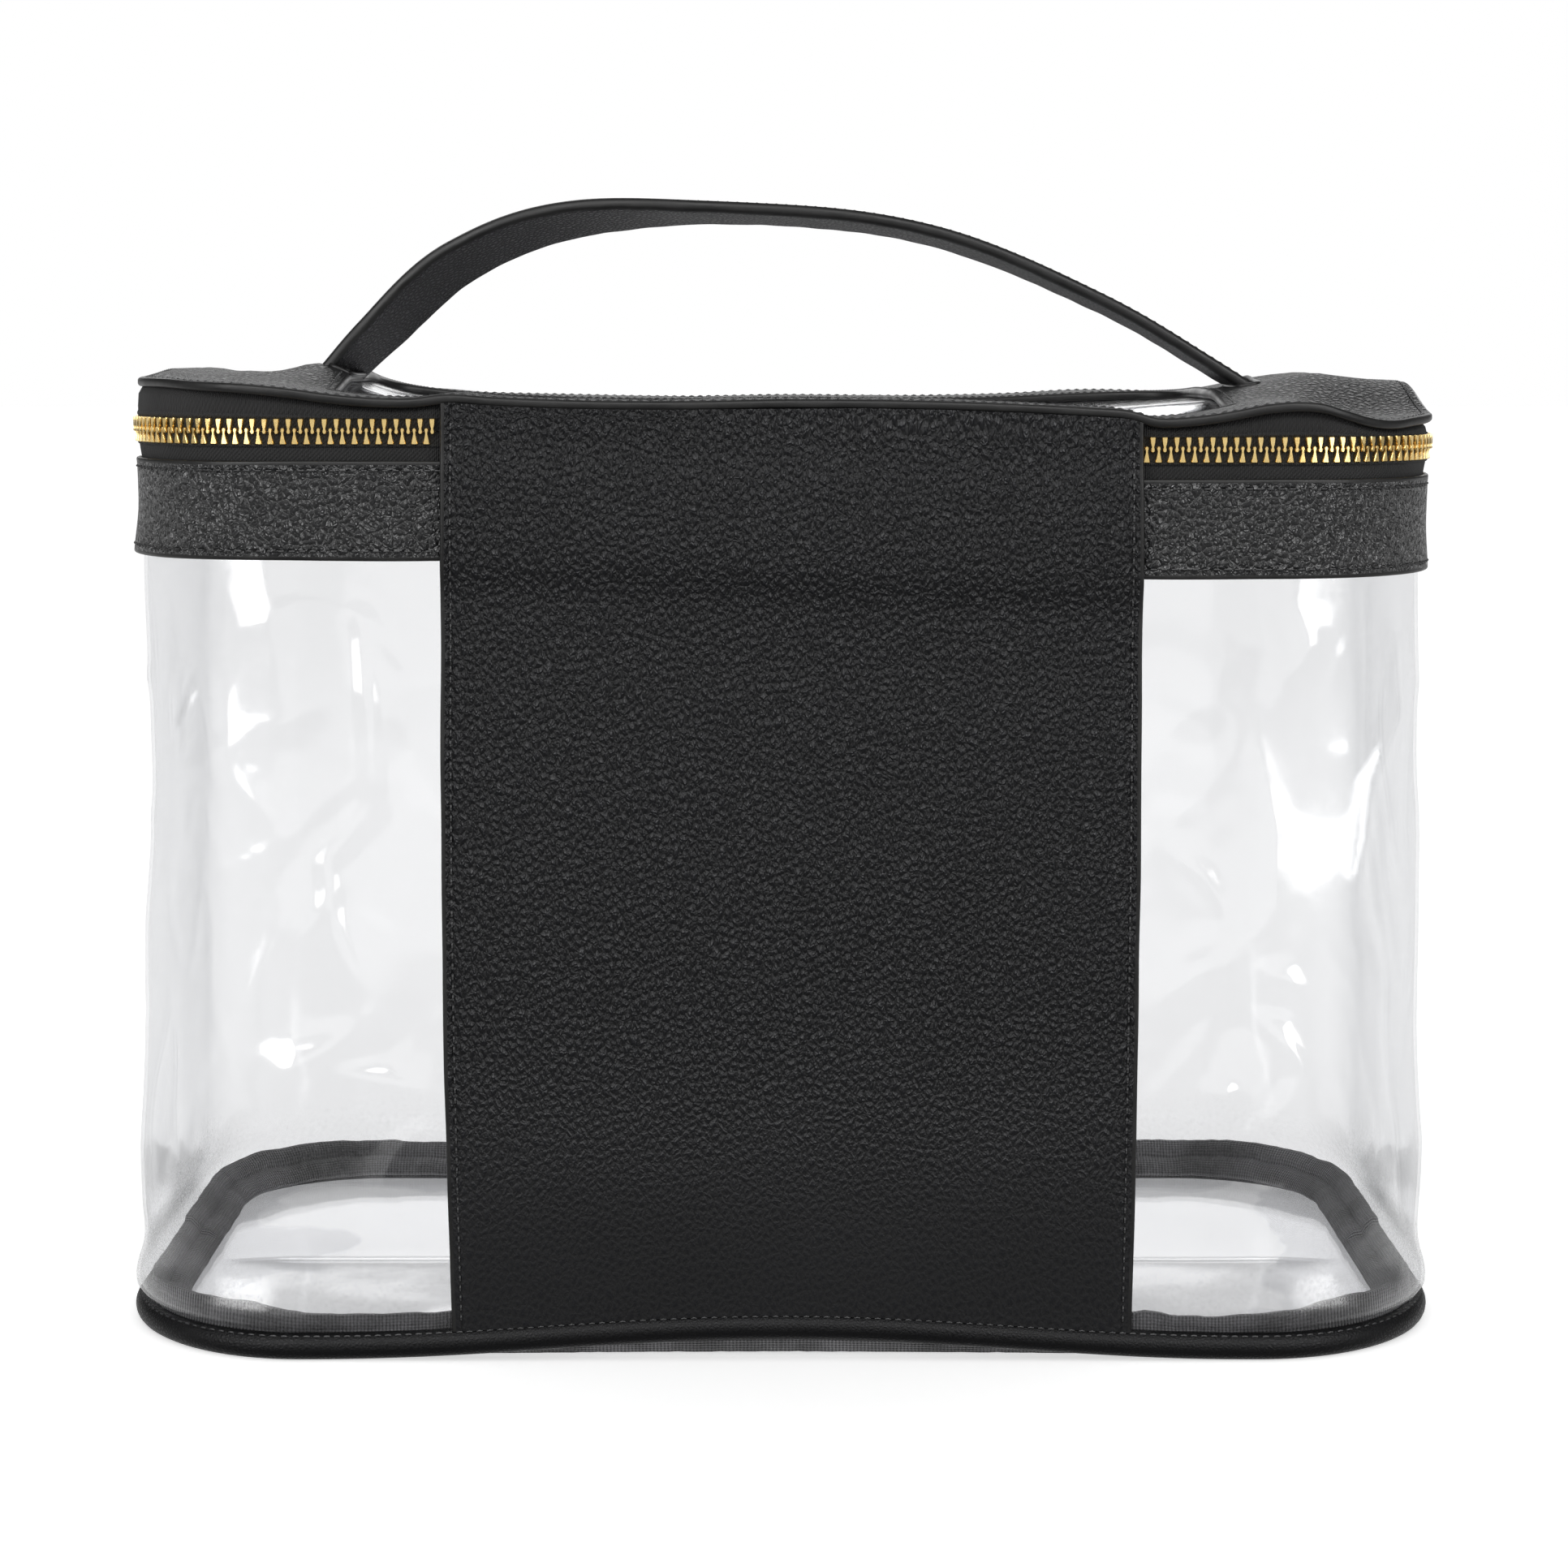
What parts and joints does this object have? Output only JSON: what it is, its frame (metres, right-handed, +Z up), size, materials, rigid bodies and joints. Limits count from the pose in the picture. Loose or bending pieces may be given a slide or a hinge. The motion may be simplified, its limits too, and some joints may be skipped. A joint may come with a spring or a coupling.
{
  "type": "clear vanity case",
  "caption": "Clear box-shaped makeup bag with leather trim, a leather hinge panel, a zipped lid with two sliders and a strap handle.",
  "frame": {"origin": "middle of the base, on the ground", "axes": "+Z up; +X along the case's width; the hinge panel faces -Y and the zip sliders face +Y"},
  "size_m": [0.3002, 0.1633, 0.255],
  "materials": {
    "leather": "satin",
    "strap_filler": "matte",
    "clear_sheet": "gloss",
    "zip_metal": "polished",
    "zip_tape": "matte",
    "lining": "matte",
    "binding": "matte",
    "piping_filler": "matte"
  },
  "bodies": {
    "case": {"body_wall": "clear_sheet", "base_sheet": "clear_sheet", "base_piping": "leather", "base_piping_cord": "piping_filler", "base_binding": "binding", "collar_band": "leather", "collar_lining": "lining", "hinge_panel": "leather", "hinge_panel_lining": "lining", "lower_zip_tape": "zip_tape", "lower_zip_teeth": "zip_metal", "lower_zip_stops": "zip_metal"},
    "lid": {"lid_frame": "leather", "lid_window": "clear_sheet", "lid_lining": "lining", "lid_hinge_strip": "leather", "upper_zip_tape": "zip_tape", "upper_zip_teeth": "zip_metal", "upper_zip_stops": "zip_metal", "handle_anchor_left": "leather", "handle_anchor_right": "leather", "handle_foot_left": "leather", "handle_foot_right": "leather"},
    "handle": {"handle_top": "leather", "handle_core": "strap_filler", "handle_underside": "leather"},
    "left_slider": {"slider_left": "zip_metal", "slider_left_crown": "zip_metal"},
    "right_slider": {"slider_right": "zip_metal", "slider_right_crown": "zip_metal"},
    "left_pull": {"pull_left_ring": "zip_metal", "pull_left_tab": "zip_metal"},
    "right_pull": {"pull_right_ring": "zip_metal", "pull_right_tab": "zip_metal"}
  },
  "joints": [
    {"name": "lid_hinge", "type": "hinge", "parent": "case", "child": "lid", "pos_m": [0, -0.0778, 0.202], "axis": [1, 0, 0], "range_deg": [0, 175]},
    {"name": "handle_tilt", "type": "hinge", "parent": "lid", "child": "handle", "pos_m": [0, 0, 0.21025], "axis": [1, 0, 0], "range_deg": [-35, 35], "stiffness_Nm_per_rad": 0.03, "deforming": ["handle_foot_left", "handle_foot_right"]},
    {"name": "left_slider_travel", "type": "slide", "parent": "case", "child": "left_slider", "axis": [1, 0, 0], "range_m": [-0.092, 0]},
    {"name": "right_slider_travel", "type": "slide", "parent": "case", "child": "right_slider", "axis": [1, 0, 0], "range_m": [0, 0.092]},
    {"name": "left_pull_swing", "type": "hinge", "parent": "left_slider", "child": "left_pull", "pos_m": [-0.006, 0.0803, 0.202], "axis": [1, 0, 0], "range_deg": [-5, 160]},
    {"name": "right_pull_swing", "type": "hinge", "parent": "right_slider", "child": "right_pull", "pos_m": [0.006, 0.0803, 0.202], "axis": [1, 0, 0], "range_deg": [-5, 160]}
  ]
}
